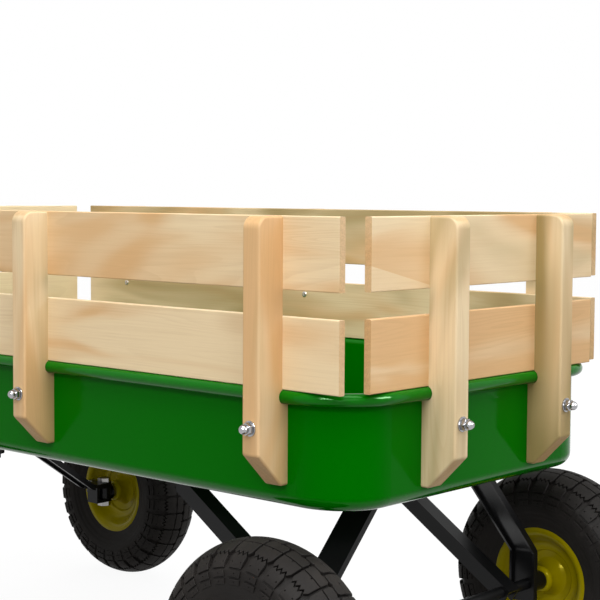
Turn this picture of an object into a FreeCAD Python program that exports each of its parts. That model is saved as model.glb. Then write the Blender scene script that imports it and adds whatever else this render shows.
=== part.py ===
import FreeCAD, Part
import math
import os

# Stake-sided pull wagon. X runs along the wagon with the handle towards -X, Y across it, Z up.
# The origin is on the floor, under the middle of the wagon and its laid-down handle.
# Left is the -Y side, as seen by someone who walks ahead and pulls.

# Tray of pressed sheet steel
tray_length = 876.6
tray_width = 427.0
tray_depth = 115.0
tray_underside = 276.5
tray_sheet = 1.5
tray_corner_radius = 64.0
tray_floor_radius = 14.0
rim_bead_diameter = 13.5
rim_bead_sheet = 1.5

# Stake sides
slat_height = 70.0
slat_gap = 25.0
slat_thickness = 7.9
slat_edge_radius = 1.2
side_slat_inset = 4.8
end_slat_inset = 22.1
stake_width = 22.0
stake_depth = 40.4
stake_edge_radius = 2.5
stake_top_radius = 12.0
side_stake_below_rim = 92.5
end_stake_below_rim = 100.0
stake_chamfer = 32.0
stake_chamfer_radius = 5.0
side_stake_inset = 81.5
end_stake_inset = 99.4
stake_notch_clearance = 0.4
seat_clearance = 0.1

# Pneumatic wheels
tyre_diameter = 254.0
tyre_width = 80.0
tyre_wall = 7.0
tyre_tread_wall = 9.0
tyre_tread_width = 60.0
tyre_crown_drop = 10.9
tyre_shoulder_width = 72.8
tyre_shoulder_drop = 18.0
tyre_widest_drop = 31.0
tyre_flank_width = 73.0
tyre_flank_drop = 49.0
tyre_neck_rise = 2.2
tyre_bead_width = 9.0
rim_flange_diameter = 126.0
rim_flange_depth = 11.0
rim_flange_lip = 3.0
rim_flange_taper = 1.0
rim_width = 58.0
rim_well_depth = 6.0
rim_well_width = 20.0
rim_dish_diameter = 88.0
rim_dish_inset = 12.0
rim_ring_diameter = 66.0
rim_ring_inset = 17.0
rim_step_run = 2.0
rim_step_depth = 2.5
rim_valley_diameter = 46.0
rim_valley_inset = 22.0
hub_root_diameter = 35.0
hub_root_inset = 17.0
hub_diameter = 31.0
hub_length = 60.0
hub_dome_radius = 5.0
bead_clearance = 0.1

# Axles and what keeps the wheels on them
axle_diameter = 12.7
bore_clearance = 0.08
running_gap = 0.4
wheel_track = 496.0
rear_axle_inset = 70.7
kingpin_inset = 46.3
spacer_diameter = 22.0
axle_nut_across = 20.0
axle_nut_height = 9.0
axle_nut_dome_diameter = 17.0
axle_nut_tip_diameter = 9.0
axle_nut_dome_height = 5.0
axle_end_share = 0.6

# Rear carrier: one shallow channel bent over under the tray, and two channel braces
carrier_width = 34.0
carrier_lead = 4.0
carrier_lip = 7.0
carrier_sheet = 3.0
carrier_foot_half = 93.5
carrier_leg_face = 194.5
carrier_bend_height = 167.7
carrier_leg_below_axle = 21.0
carrier_bend_radius = 12.0
brace_width = 20.8
brace_height = 18.0
brace_sheet = 2.5
brace_inset = 74.5
brace_slope_deg = 32.9
brace_foot_length = 42.0
brace_end_radius = 9.0

# Front beam, its saddle under the tray, and the steering post
front_beam_width = 30.0
front_beam_sheet = 4.0
front_beam_lip = 8.0
front_bend_radius = 20.0
front_centre_half = 38.0
front_slope_deg = 34.7
front_bend_y = 174.0
saddle_length = 60.0
saddle_sheet = 3.0
saddle_base_half = 34.0
saddle_top_half = 46.0
saddle_foot = 26.0
post_diameter = 20.0

# Knuckles that carry and steer the front wheels
kingpin_y = 203.0
kingpin_diameter = 9.5
kingpin_head_across = 17.0
kingpin_head_height = 6.0
kingpin_nut_height = 6.5
barrel_diameter = 20.0
barrel_height = 16.0
yoke_width = 22.0
yoke_sheet = 4.0
yoke_throat = 19.0
swivel_gap = 0.3
shoulder_diameter = 15.5
arm_length = 28.0
arm_width = 12.0
arm_thickness = 5.0
arm_eye_diameter = 16.0

# Tie rod across the wagon, pinned to both knuckles and to the lever
tie_rod_diameter = 9.5
tie_rod_bend_gap = 1.5
tie_rod_bend_radius = 14.0
tie_eye_diameter = 18.0
tie_pin_diameter = 8.0
tie_pin_head_diameter = 13.0
tie_pin_head_height = 3.0
open_pin_clearance = 0.3

# Steering lever that the handle turns
lever_reach = 150.0
lever_drop = 12.0
lever_thickness = 5.0
lever_boss_diameter = 32.0
lever_wall = 4.0
lever_wall_start = 60.0
lever_wall_ramp = 22.0
lever_wall_height = 20.0
lever_nose = 13.0
lever_nose_radius = 10.0
lever_mouth_gap = 2.0
lever_bolt_diameter = 12.7
lever_bolt_across = 19.0
lever_bolt_head = 7.0

# Pull handle
handle_pivot_rise = 8.5
handle_length = 830.0
handle_tube_diameter = 19.0
handle_tube_wall = 1.8
handle_eye_thickness = 13.8
handle_eye_height = 24.0
handle_eye_length = 46.0
handle_side_gap = 0.4
handle_pin_diameter = 10.0
handle_pin_head_diameter = 17.0
handle_pin_head_height = 4.0
grip_rod_diameter = 12.0
grip_loop_length = 96.0
grip_loop_width = 124.0
grip_loop_radius = 18.0
grip_side_length = 30.0
grip_neck_radius = 12.0
grip_sleeve_diameter = 26.0
grip_sleeve_length = 72.0
grip_sleeve_edge = 4.0

# A cutter runs this far past what it cuts, and points nearer than this are one point
overrun = 2.0
same_place = 0.000001

X_AXIS = FreeCAD.Vector(1, 0, 0)
Y_AXIS = FreeCAD.Vector(0, 1, 0)
Z_AXIS = FreeCAD.Vector(0, 0, 1)
ORIGIN = FreeCAD.Vector(0, 0, 0)

# Heights over the floor
tyre_radius = tyre_diameter / 2
axle_height = tyre_radius
axle_radius = axle_diameter / 2
wheel_y = wheel_track / 2
rim_top = tray_underside + tray_depth
slat_levels = (rim_top + seat_clearance, rim_top + seat_clearance + slat_height + slat_gap)
stake_top = slat_levels[1] + slat_height
side_stake_bottom = rim_top - side_stake_below_rim
end_stake_bottom = rim_top - end_stake_below_rim

# The steering arms lie at the height of the axle
arm_top = axle_height + arm_thickness / 2
arm_bottom = axle_height - arm_thickness / 2

# The front beam rises from a tab over each knuckle to its middle
yoke_inside = barrel_height / 2 + swivel_gap
yoke_outside = yoke_inside + yoke_sheet
tab_top = axle_height + yoke_outside + front_beam_sheet
beam_top = tab_top + (front_bend_y - front_centre_half) * math.tan(math.radians(front_slope_deg))

# The lever lies under the beam's middle; the tie rod rests on the arms and on the lever
lever_top = beam_top - front_beam_lip - lever_drop
lever_bottom = lever_top - lever_thickness
tie_rod_end_z = arm_top + swivel_gap + tie_rod_diameter / 2
tie_rod_middle_z = lever_top + swivel_gap + tie_rod_diameter / 2
handle_pivot_z = lever_top + handle_pivot_rise

# The handle lies with its grip on the floor
handle_drop = handle_pivot_z - grip_sleeve_diameter / 2
handle_tilt = math.asin(handle_drop / handle_length)
handle_floor_reach = handle_length * math.cos(handle_tilt) + grip_sleeve_diameter / 2

# Places along the wagon, with the whole length centred on the origin
rear_axle_offset = tray_length / 2 - rear_axle_inset
kingpin_offset = tray_length / 2 - kingpin_inset
rear_reach = rear_axle_offset + tyre_radius
front_reach = kingpin_offset + lever_reach + handle_floor_reach
tray_x = (front_reach - rear_reach) / 2
rear_axle_x = tray_x + rear_axle_offset
kingpin_x = tray_x - kingpin_offset
tie_rod_x = kingpin_x - arm_length
handle_pivot_x = kingpin_x - lever_reach

# Boards and posts of the stake sides
side_slat_length = tray_length - 2 * side_slat_inset
end_slat_length = tray_width - 2 * end_slat_inset
side_stake_offset = side_slat_length / 2 - side_stake_inset
end_stake_offset = end_slat_length / 2 - end_stake_inset

# The braces' inner sides, from the middle
brace_inner_face = tray_width / 2 - brace_inset


def vec(x, y, z):
    return FreeCAD.Vector(x, y, z)


def box(x_range, y_range, z_range):
    size = [high - low for low, high in (x_range, y_range, z_range)]
    return Part.makeBox(size[0], size[1], size[2], vec(x_range[0], y_range[0], z_range[0]))


def rod(radius, start, end):
    return Part.makeCylinder(radius, (end - start).Length, start, end - start)


def cross_rod(radius, x, y_range, z):
    return rod(radius, vec(x, y_range[0], z), vec(x, y_range[1], z))


def upright_rod(radius, x, y, z_range):
    return rod(radius, vec(x, y, z_range[0]), vec(x, y, z_range[1]))


def centred(middle, span):
    return (middle - span / 2, middle + span / 2)


def rounded_edges(solid, radius, wanted):
    edges = [edge for edge in solid.Edges if wanted(edge)]
    return solid.makeFillet(radius, edges)


def runs_along(edge, axis):
    if not isinstance(edge.Curve, Part.Line):
        return False
    return abs(abs(edge.Curve.Direction.dot(axis)) - 1) < same_place


def rounded_plate(x_range, y_range, z_range, radius):
    plate = box(x_range, y_range, z_range)
    return rounded_edges(plate, radius, lambda edge: runs_along(edge, Z_AXIS))


def line_crossing(p, d, q, e):
    """Where the line through p along d meets the line through q along e, in a plane."""
    cross = d[0] * e[1] - d[1] * e[0]
    along = ((q[0] - p[0]) * e[1] - (q[1] - p[1]) * e[0]) / cross
    return (p[0] + d[0] * along, p[1] + d[1] * along)


def shifted_path(points, shift):
    """An open path moved sideways by shift, to the left of its direction."""
    runs = []
    for start, end in zip(points[:-1], points[1:]):
        length = math.hypot(end[0] - start[0], end[1] - start[1])
        along = ((end[0] - start[0]) / length, (end[1] - start[1]) / length)
        foot = (start[0] - along[1] * shift, start[1] + along[0] * shift)
        runs.append((foot, along, length))
    moved = [runs[0][0]]
    for before, after in zip(runs[:-1], runs[1:]):
        moved.append(line_crossing(before[0], before[1], after[0], after[1]))
    last_foot, last_along, last_length = runs[-1]
    moved.append((last_foot[0] + last_along[0] * last_length, last_foot[1] + last_along[1] * last_length))
    return moved


def corner_sign(before, corner, after):
    turn = (corner[0] - before[0]) * (after[1] - corner[1]) - (corner[1] - before[1]) * (after[0] - corner[0])
    return 1 if turn > 0 else -1


def rounded_path(points, radii, place):
    """Edges of an open path with its inner corners rounded; place turns a plane point into a vector."""
    edges = []
    start = points[0]
    for index, radius in enumerate(radii):
        before, corner, after = points[index], points[index + 1], points[index + 2]
        arm_in = math.hypot(before[0] - corner[0], before[1] - corner[1])
        arm_out = math.hypot(after[0] - corner[0], after[1] - corner[1])
        to_before = ((before[0] - corner[0]) / arm_in, (before[1] - corner[1]) / arm_in)
        to_after = ((after[0] - corner[0]) / arm_out, (after[1] - corner[1]) / arm_out)
        half = math.acos(to_before[0] * to_after[0] + to_before[1] * to_after[1]) / 2
        cut = radius / math.tan(half)
        first = (corner[0] + to_before[0] * cut, corner[1] + to_before[1] * cut)
        last = (corner[0] + to_after[0] * cut, corner[1] + to_after[1] * cut)
        bisector = (to_before[0] + to_after[0], to_before[1] + to_after[1])
        reach = math.hypot(bisector[0], bisector[1])
        inward = radius / math.sin(half) - radius
        middle = (corner[0] + bisector[0] / reach * inward, corner[1] + bisector[1] / reach * inward)
        edges.append(Part.LineSegment(place(*start), place(*first)).toShape())
        edges.append(Part.Arc(place(*first), place(*middle), place(*last)).toShape())
        start = last
    edges.append(Part.LineSegment(place(*start), place(*points[-1])).toShape())
    return edges


def strip(points, bend_radius, low, high, place, direction):
    """A bent strip between two sideways shifts of a path, extruded along a direction."""
    sides = []
    for shift in (low, high):
        path = shifted_path(points, shift)
        radii = []
        for index in range(len(points) - 2):
            sign = corner_sign(*points[index:index + 3])
            radii.append(bend_radius - sign * shift)
        sides.append((path, radii))
    first = rounded_path(sides[0][0], sides[0][1], place)
    second = rounded_path(sides[1][0], sides[1][1], place)
    ends = [Part.LineSegment(place(*sides[0][0][end]), place(*sides[1][0][end])).toShape() for end in (0, -1)]
    wire = Part.Wire(Part.__sortEdges__(first + second + ends))
    return Part.Face(wire).extrude(direction)


def prism(points, place, direction):
    corners = [place(*point) for point in points]
    return Part.Face(Part.makePolygon(corners + corners[:1])).extrude(direction)


def mirrored_y(shape):
    return shape.mirror(ORIGIN, Y_AXIS)


# Tray

def tray_block(shrink, floor_z, top_z, floor_radius):
    """A solid rounded block the size of the tray, pulled in by shrink on every side."""
    block = rounded_plate(
        centred(tray_x, tray_length - 2 * shrink),
        centred(0, tray_width - 2 * shrink),
        (floor_z, top_z),
        tray_corner_radius - shrink)
    return rounded_edges(block, floor_radius, lambda edge: abs(edge.BoundBox.ZMax - floor_z) < same_place)


def rim_ring(tube_radius, centre_outset, z):
    """A ring of round section that follows the tray's rounded outline."""
    half_length = tray_length / 2 - tray_corner_radius
    half_width = tray_width / 2 - tray_corner_radius
    sweep_radius = tray_corner_radius + centre_outset
    pieces = []
    for sx in (-1, 1):
        x = tray_x + sx * half_length
        rail_x = x + sx * sweep_radius
        pieces.append(rod(tube_radius, vec(rail_x, -half_width, z), vec(rail_x, half_width, z)))
        for sy in (-1, 1):
            corner = Part.makeTorus(sweep_radius, tube_radius, vec(x, sy * half_width, z), Z_AXIS)
            reach = sweep_radius + tube_radius + overrun
            quarter = box(
                sorted((x, x + sx * reach)),
                sorted((sy * half_width, sy * (half_width + reach))),
                centred(z, 2 * tube_radius + overrun))
            pieces.append(corner.common(quarter))
    for sy in (-1, 1):
        y = sy * (half_width + sweep_radius)
        pieces.append(rod(tube_radius, vec(tray_x - half_length, y, z), vec(tray_x + half_length, y, z)))
    return pieces[0].multiFuse(pieces[1:]).removeSplitter()


def make_tray():
    bead_radius = rim_bead_diameter / 2
    bead_z = rim_top - bead_radius
    outset = bead_radius - tray_sheet
    shell = tray_block(0, tray_underside, bead_z, tray_floor_radius)
    floor_top = tray_underside + tray_sheet
    hollow = tray_block(tray_sheet, floor_top, rim_top + overrun, tray_floor_radius - tray_sheet)
    bead = rim_ring(bead_radius, outset, bead_z)
    roll = rim_ring(bead_radius - rim_bead_sheet, outset, bead_z)
    return shell.fuse(bead).cut(hollow).cut(roll)


# Stake sides. A panel is drawn with n running outwards from the tray's wall and s along it.

def slat(length, level):
    board = box(centred(0, length), (0, slat_thickness), (level, level + slat_height))
    return rounded_edges(board, slat_edge_radius, lambda edge: runs_along(edge, X_AXIS))


def stake(stake_bottom):
    bead_radius = rim_bead_diameter / 2
    outline = [
        (slat_thickness, stake_top),
        (stake_depth, stake_top),
        (stake_depth, stake_bottom + stake_chamfer),
        (stake_depth - stake_chamfer, stake_bottom),
        (0, stake_bottom),
        (0, rim_top - bead_radius),
        (slat_thickness, rim_top - bead_radius)]
    left_face = -stake_width / 2
    post = prism(outline, lambda n, z: vec(left_face, n, z), X_AXIS * stake_width)

    def at_corner(n, z):
        return lambda edge: runs_along(edge, X_AXIS) and \
            abs(edge.BoundBox.YMax - n) < same_place and abs(edge.BoundBox.ZMax - z) < same_place

    post = rounded_edges(post, stake_top_radius, at_corner(stake_depth, stake_top))
    post = rounded_edges(post, stake_chamfer_radius, at_corner(stake_depth, stake_bottom + stake_chamfer))
    post = rounded_edges(post, stake_chamfer_radius, at_corner(stake_depth - stake_chamfer, stake_bottom))
    notch = rod(
        bead_radius + stake_notch_clearance,
        vec(left_face - overrun, bead_radius - tray_sheet, rim_top - bead_radius),
        vec(-left_face + overrun, bead_radius - tray_sheet, rim_top - bead_radius))
    post = post.cut(notch)
    outer_edges = lambda edge: abs(edge.BoundBox.YMin - stake_depth) < same_place and runs_along(edge, Z_AXIS)
    return rounded_edges(post, stake_edge_radius, outer_edges)


def panel_place(shape, angle_deg, x, y):
    """Turn a panel piece so that n points outwards, and set it against its wall."""
    placed = shape.copy()
    placed.rotate(ORIGIN, Z_AXIS, angle_deg)
    placed.translate(vec(x, y, 0))
    return placed


def make_panels():
    nodes = {}
    side_gap = tray_width / 2 + seat_clearance
    end_gap = tray_length / 2 + seat_clearance
    walls = {
        "side_left": (180, tray_x, -side_gap, side_slat_length),
        "side_right": (0, tray_x, side_gap, side_slat_length),
        "end_rear": (-90, tray_x + end_gap, 0, end_slat_length),
        "end_front": (90, tray_x - end_gap, 0, end_slat_length)}
    for wall, (angle_deg, x, y, length) in walls.items():
        for level_name, level in zip(("lower", "upper"), slat_levels):
            nodes[wall + "_slat_" + level_name] = panel_place(slat(length, level), angle_deg, x, y)
    side_post = stake(side_stake_bottom)
    end_post = stake(end_stake_bottom)
    for side in ("left", "right"):
        angle_deg, x, y, length = walls["side_" + side]
        for name, step in (("front", -1), ("middle", 0), ("rear", 1)):
            nodes["side_" + side + "_stake_" + name] = panel_place(
                side_post, angle_deg, x + step * side_stake_offset, y)
    for end in ("front", "rear"):
        angle_deg, x, y, length = walls["end_" + end]
        for name, sy in (("left", -1), ("right", 1)):
            nodes["end_" + end + "_stake_" + name] = panel_place(
                end_post, angle_deg, x, y + sy * end_stake_offset)
    return nodes


# Wheels. A section is drawn with a along the axle and r out from it, then spun about the axle.

def spun(edges, x, y):
    face = Part.Face(Part.Wire(Part.__sortEdges__(edges)))
    ring = face.revolve(ORIGIN, Y_AXIS, 360)
    ring.translate(vec(x, y, axle_height))
    return ring


def section_point(a, r):
    return vec(0, a, r)


def seg(start, end):
    return Part.LineSegment(section_point(*start), section_point(*end)).toShape()


def curve(points, start_slope=None, end_slope=None):
    """A smooth line through the points, which leaves and arrives along the slopes where they are given."""
    spline = Part.BSplineCurve()
    places = [section_point(*point) for point in points]
    slopes = {}
    if start_slope:
        slopes["InitialTangent"] = section_point(*start_slope)
    if end_slope:
        slopes["FinalTangent"] = section_point(*end_slope)
    spline.interpolate(Points=places, **slopes)
    return spline.toShape()


def arc_about(centre, radius, from_deg, to_deg):
    points = []
    for turn_deg in (from_deg, (from_deg + to_deg) / 2, to_deg):
        turn = math.radians(turn_deg)
        points.append(section_point(centre[0] + radius * math.cos(turn), centre[1] + radius * math.sin(turn)))
    return Part.Arc(*points).toShape()


def both_halves(edges):
    """A section's outer half together with its mirror image."""
    return edges + [mirrored_y(edge) for edge in edges]


def make_tyre(x, y):
    crown_half = tyre_tread_width / 2
    crown_radius = (crown_half ** 2 + tyre_crown_drop ** 2) / (2 * tyre_crown_drop)
    crown_centre = (0, tyre_radius - crown_radius)
    crown_slope = (crown_radius - tyre_crown_drop, -crown_half)
    crown_turn_deg = math.degrees(math.atan2(crown_slope[0], crown_half))
    crown_end = (crown_half, tyre_radius - tyre_crown_drop)
    shoulder = (tyre_shoulder_width / 2, tyre_radius - tyre_shoulder_drop)
    widest = (tyre_width / 2, tyre_radius - tyre_widest_drop)
    flank = (tyre_flank_width / 2, tyre_radius - tyre_flank_drop)
    bead_r = rim_flange_diameter / 2 - rim_flange_depth + bead_clearance
    bead_a = rim_width / 2 - rim_flange_lip - bead_clearance
    neck_r = rim_flange_diameter / 2 + tyre_neck_rise
    heel_a = bead_a - tyre_bead_width
    inner_radius = crown_radius - tyre_tread_wall
    inner_end = (
        crown_half * inner_radius / crown_radius,
        crown_centre[1] + crown_slope[0] * inner_radius / crown_radius)
    inner_widest = (widest[0] - tyre_wall, widest[1])
    inner_flank = (flank[0] - tyre_wall, flank[1])
    down = (0, -1)
    up = (0, 1)
    edges = [
        arc_about(crown_centre, crown_radius, 90, crown_turn_deg),
        curve([crown_end, shoulder, widest], crown_slope, down),
        curve([widest, flank, (bead_a, neck_r)], down),
        seg((bead_a, neck_r), (bead_a, bead_r)),
        seg((bead_a, bead_r), (heel_a, bead_r)),
        seg((heel_a, bead_r), (heel_a, neck_r)),
        curve([(heel_a, neck_r), inner_flank, inner_widest], None, up),
        curve([inner_end, inner_widest], crown_slope, down),
        arc_about(crown_centre, inner_radius, 90, crown_turn_deg)]
    return spun(both_halves(edges), x, y)


def make_rim(x, y):
    """A dished disc with a flange for each bead, a step in its dish and a round-nosed hub."""
    half = rim_width / 2
    flange_r = rim_flange_diameter / 2
    seat_r = flange_r - rim_flange_depth
    well_r = seat_r - rim_well_depth
    well_a = rim_well_width / 2
    lip_a = half - rim_flange_lip
    seat_a = lip_a - tyre_bead_width
    dish = (half - rim_dish_inset, rim_dish_diameter / 2)
    ring = (half - rim_ring_inset, rim_ring_diameter / 2)
    step = (ring[0] - rim_step_depth, ring[1] - rim_step_run)
    valley = (half - rim_valley_inset, rim_valley_diameter / 2)
    hub_root = (half - hub_root_inset, hub_root_diameter / 2)
    hub_half = hub_length / 2
    hub_r = hub_diameter / 2
    dome_a = hub_half - hub_dome_radius
    nose_r = hub_r - hub_dome_radius
    bore_r = axle_radius + bore_clearance
    edges = [
        seg((0, well_r), (well_a, well_r)),
        seg((well_a, well_r), (seat_a, seat_r)),
        seg((seat_a, seat_r), (lip_a, seat_r)),
        seg((lip_a, seat_r), (lip_a, flange_r)),
        arc_about((half - rim_flange_lip / 2, flange_r), rim_flange_lip / 2, 180, 0),
        curve([(half, flange_r), (half - rim_flange_taper, seat_r), dish, ring], (0, -1)),
        seg(ring, step),
        seg(step, valley),
        curve([valley, hub_root, (dome_a, hub_r)], None, (1, 0)),
        arc_about((dome_a, nose_r), hub_dome_radius, 90, 0),
        seg((hub_half, nose_r), (hub_half, bore_r)),
        seg((hub_half, bore_r), (0, bore_r))]
    return spun(both_halves(edges), x, y)


def make_wheels():
    nodes = {}
    for end, x in (("rear", rear_axle_x), ("front", kingpin_x)):
        for side, sign in (("left", -1), ("right", 1)):
            nodes["tyre_" + end + "_" + side] = make_tyre(x, sign * wheel_y)
            nodes["rim_" + end + "_" + side] = make_rim(x, sign * wheel_y)
    return nodes


# Axles and their fastenings

hub_inner_y = wheel_y - hub_length / 2
hub_outer_y = wheel_y + hub_length / 2


def hex_prism(across, height, centre, axis):
    corner_radius = across / math.sqrt(3)
    points = []
    for corner in range(6):
        turn = math.radians(60 * corner)
        points.append(vec(corner_radius * math.cos(turn), corner_radius * math.sin(turn), 0))
    nut = Part.Face(Part.makePolygon(points + points[:1])).extrude(Z_AXIS * height)
    nut.Placement = FreeCAD.Placement(centre, FreeCAD.Rotation(Z_AXIS, axis))
    return nut


def axle_nut(x, sign):
    """A closed domed nut on the end of an axle, outside the hub."""
    face_y = sign * (hub_outer_y + running_gap)
    nut = hex_prism(axle_nut_across, axle_nut_height, vec(x, face_y, axle_height), Y_AXIS * sign)
    dome_face = vec(x, face_y + sign * axle_nut_height, axle_height)
    dome = Part.makeCone(
        axle_nut_dome_diameter / 2,
        axle_nut_tip_diameter / 2,
        axle_nut_dome_height,
        dome_face,
        Y_AXIS * sign)
    bore = rod(axle_radius, vec(x, face_y, axle_height), vec(x, axle_end(sign), axle_height))
    return nut.fuse(dome).cut(bore)


def axle_end(sign):
    return sign * (hub_outer_y + running_gap + axle_nut_height * axle_end_share)


def spacer(x, sign, inner_y):
    y_range = (sign * inner_y, sign * (hub_inner_y - running_gap))
    outer = cross_rod(spacer_diameter / 2, x, y_range, axle_height)
    return outer.cut(cross_rod(axle_radius + bore_clearance, x, y_range, axle_height))


def make_rear_axle():
    return cross_rod(axle_radius, rear_axle_x, (axle_end(-1), axle_end(1)), axle_height)


# Carriers bent from shallow channel

def yz_plane(x):
    return lambda y, z: vec(x, y, z)


def channel(points, x_middle, bend_radius, width, lip, sheet):
    """Shallow channel bent along a path in a plane across the wagon, its web on the path's left side."""
    low_x = x_middle - width / 2
    outer = strip(points, bend_radius, -lip, 0, yz_plane(low_x), X_AXIS * width)
    pocket = strip(
        points,
        bend_radius,
        -lip - overrun,
        -sheet,
        yz_plane(low_x + sheet),
        X_AXIS * (width - 2 * sheet))
    return outer.cut(pocket)


def make_rear_carrier():
    leg_end = axle_height - carrier_leg_below_axle
    half = [
        (carrier_leg_face, leg_end),
        (carrier_leg_face, carrier_bend_height),
        (carrier_foot_half, tray_underside)]
    path = [(-y, z) for y, z in half] + list(reversed(half))
    carrier = channel(
        path, rear_axle_x - carrier_lead, carrier_bend_radius, carrier_width, carrier_lip, carrier_sheet)
    hole = cross_rod(
        axle_radius + bore_clearance,
        rear_axle_x,
        (-carrier_leg_face - overrun, carrier_leg_face + overrun),
        axle_height)
    return carrier.cut(hole)


def make_brace():
    """The right-hand brace, an inverted channel from the axle up and forward to the tray."""
    slope = math.radians(brace_slope_deg)
    half = brace_height / 2
    axle_point = (rear_axle_x, axle_height)
    along = (-math.cos(slope), math.sin(slope))
    # The web's line lies half the height above the line through the axle
    lift = (half * math.sin(slope), half * math.cos(slope))
    tail = (
        axle_point[0] - along[0] * brace_end_radius + lift[0],
        axle_point[1] - along[1] * brace_end_radius + lift[1])
    rise = (tray_underside - tail[1]) / along[1]
    knee = (tail[0] + along[0] * rise, tray_underside)
    toe = (knee[0] - brace_foot_length, tray_underside)
    points = [tail, knee, toe]
    y_low = brace_inner_face

    def xz_plane(y):
        return lambda x, z: vec(x, y, z)

    bend = carrier_bend_radius
    outer = strip(points, bend, 0, brace_height, xz_plane(y_low), Y_AXIS * brace_width)
    pocket = strip(
        points,
        bend,
        brace_sheet,
        brace_height + overrun,
        xz_plane(y_low + brace_sheet),
        Y_AXIS * (brace_width - 2 * brace_sheet))
    brace = outer.cut(pocket)
    # The foot under the tray is flat strip, its flanges stopping at the knee
    trim = box(
        (toe[0] - overrun, knee[0] - overrun),
        (y_low - overrun, y_low + brace_width + overrun),
        (tray_underside - brace_height - overrun, tray_underside - brace_sheet))
    brace = brace.cut(trim)
    hole = cross_rod(
        axle_radius + bore_clearance,
        rear_axle_x,
        (y_low - overrun, y_low + brace_width + overrun),
        axle_height)
    return brace.cut(hole)


# Front beam and what hangs it under the tray

def make_front_beam():
    """Channel that rises from a flat tab over each knuckle to a flat middle."""
    tab_end = kingpin_y + yoke_width / 2
    half = [(tab_end, tab_top), (front_bend_y, tab_top), (front_centre_half, beam_top)]
    path = [(-y, z) for y, z in half] + list(reversed(half))
    beam = channel(path, kingpin_x, front_bend_radius, front_beam_width, front_beam_lip, front_beam_sheet)
    half_width = front_beam_width / 2
    side = [
        (-half_width, 0),
        (-half_width, front_bend_y),
        (-yoke_width / 2, kingpin_y),
        (yoke_width / 2, kingpin_y),
        (half_width, front_bend_y),
        (half_width, 0)]
    low_z = axle_height
    plan = prism(side, lambda x, y: vec(kingpin_x + x, y, low_z), Z_AXIS * (beam_top - low_z + overrun))
    plan = plan.fuse(upright_rod(yoke_width / 2, kingpin_x, kingpin_y, (low_z, beam_top)))
    beam = beam.common(plan.fuse(mirrored_y(plan)))
    for sign in (-1, 1):
        # Under the tab there are no lips
        under_tab = box(
            centred(kingpin_x, front_beam_width + overrun),
            sorted((sign * front_bend_y, sign * (tab_end + overrun))),
            (low_z - overrun, tab_top - front_beam_sheet))
        hole = upright_rod(
            kingpin_diameter / 2 + bore_clearance,
            kingpin_x,
            sign * kingpin_y,
            (tab_top - front_beam_sheet - overrun, tab_top + overrun))
        beam = beam.cut(under_tab).cut(hole)
    return beam


def make_front_saddle():
    """A hat-shaped bracket between the beam's flat middle and the tray."""
    base = beam_top + saddle_sheet
    half = [
        (saddle_top_half + saddle_foot, tray_underside),
        (saddle_top_half, tray_underside),
        (saddle_base_half, base)]
    path = [(-y, z) for y, z in half] + list(reversed(half))
    low_x = kingpin_x - saddle_length / 2
    return strip(path, carrier_bend_radius, -saddle_sheet, 0, yz_plane(low_x), X_AXIS * saddle_length)


def make_steering_post():
    span = (lever_top + swivel_gap, beam_top - front_beam_sheet)
    post = upright_rod(post_diameter / 2, kingpin_x, 0, span)
    return post.cut(upright_rod(lever_bolt_diameter / 2 + bore_clearance, kingpin_x, 0, span))


def make_front_yoke(sign):
    """A C-shaped bracket under the beam's tab, open outwards, that holds one kingpin."""
    half = yoke_width / 2
    web_face = kingpin_y - yoke_throat
    block = box(
        centred(kingpin_x, yoke_width),
        (web_face - yoke_sheet, kingpin_y),
        (axle_height - yoke_outside, axle_height + yoke_outside))
    block = block.fuse(upright_rod(
        half, kingpin_x, kingpin_y, (axle_height - yoke_outside, axle_height + yoke_outside)))
    mouth = box(
        centred(kingpin_x, yoke_width + overrun),
        (web_face, kingpin_y + half + overrun),
        (axle_height - yoke_inside, axle_height + yoke_inside))
    hole = upright_rod(
        kingpin_diameter / 2 + bore_clearance,
        kingpin_x,
        kingpin_y,
        (axle_height - yoke_outside - overrun, axle_height + yoke_outside + overrun))
    yoke = block.cut(mouth).cut(hole)
    return yoke if sign > 0 else mirrored_y(yoke)


def make_kingpin(sign):
    """The bolt that a knuckle turns on, with its head over the beam's tab and its nut under the yoke."""
    y = sign * kingpin_y
    nut_top = axle_height - yoke_outside
    pin = upright_rod(kingpin_diameter / 2, kingpin_x, y, (nut_top - kingpin_nut_height, tab_top))
    head = hex_prism(kingpin_head_across, kingpin_head_height, vec(kingpin_x, y, tab_top), Z_AXIS)
    nut = hex_prism(
        kingpin_head_across, kingpin_nut_height, vec(kingpin_x, y, nut_top - kingpin_nut_height), Z_AXIS)
    return pin.multiFuse([head, nut])


# Steering linkage

shoulder_y = kingpin_y + yoke_width / 2 + swivel_gap


def make_knuckle(sign):
    """A barrel on the kingpin, with the wheel's spindle outwards and the steering arm forwards."""
    barrel = upright_rod(
        barrel_diameter / 2, kingpin_x, kingpin_y, centred(axle_height, barrel_height))
    shoulder = cross_rod(shoulder_diameter / 2, kingpin_x, (kingpin_y, shoulder_y), axle_height)
    spindle = cross_rod(axle_radius, kingpin_x, (kingpin_y, axle_end(1)), axle_height)
    arm = box(
        (tie_rod_x, kingpin_x),
        centred(kingpin_y, arm_width),
        (arm_bottom, arm_top))
    eye = upright_rod(arm_eye_diameter / 2, tie_rod_x, kingpin_y, (arm_bottom, arm_top))
    knuckle = barrel.multiFuse([shoulder, spindle, arm, eye])
    bore = upright_rod(
        kingpin_diameter / 2 + bore_clearance,
        kingpin_x,
        kingpin_y,
        centred(axle_height, barrel_height + overrun))
    pin_hole = upright_rod(
        tie_pin_diameter / 2 + open_pin_clearance,
        tie_rod_x,
        kingpin_y,
        (arm_bottom - overrun, arm_top + overrun))
    knuckle = knuckle.cut(bore).cut(pin_hole)
    return knuckle if sign > 0 else mirrored_y(knuckle)


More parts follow.
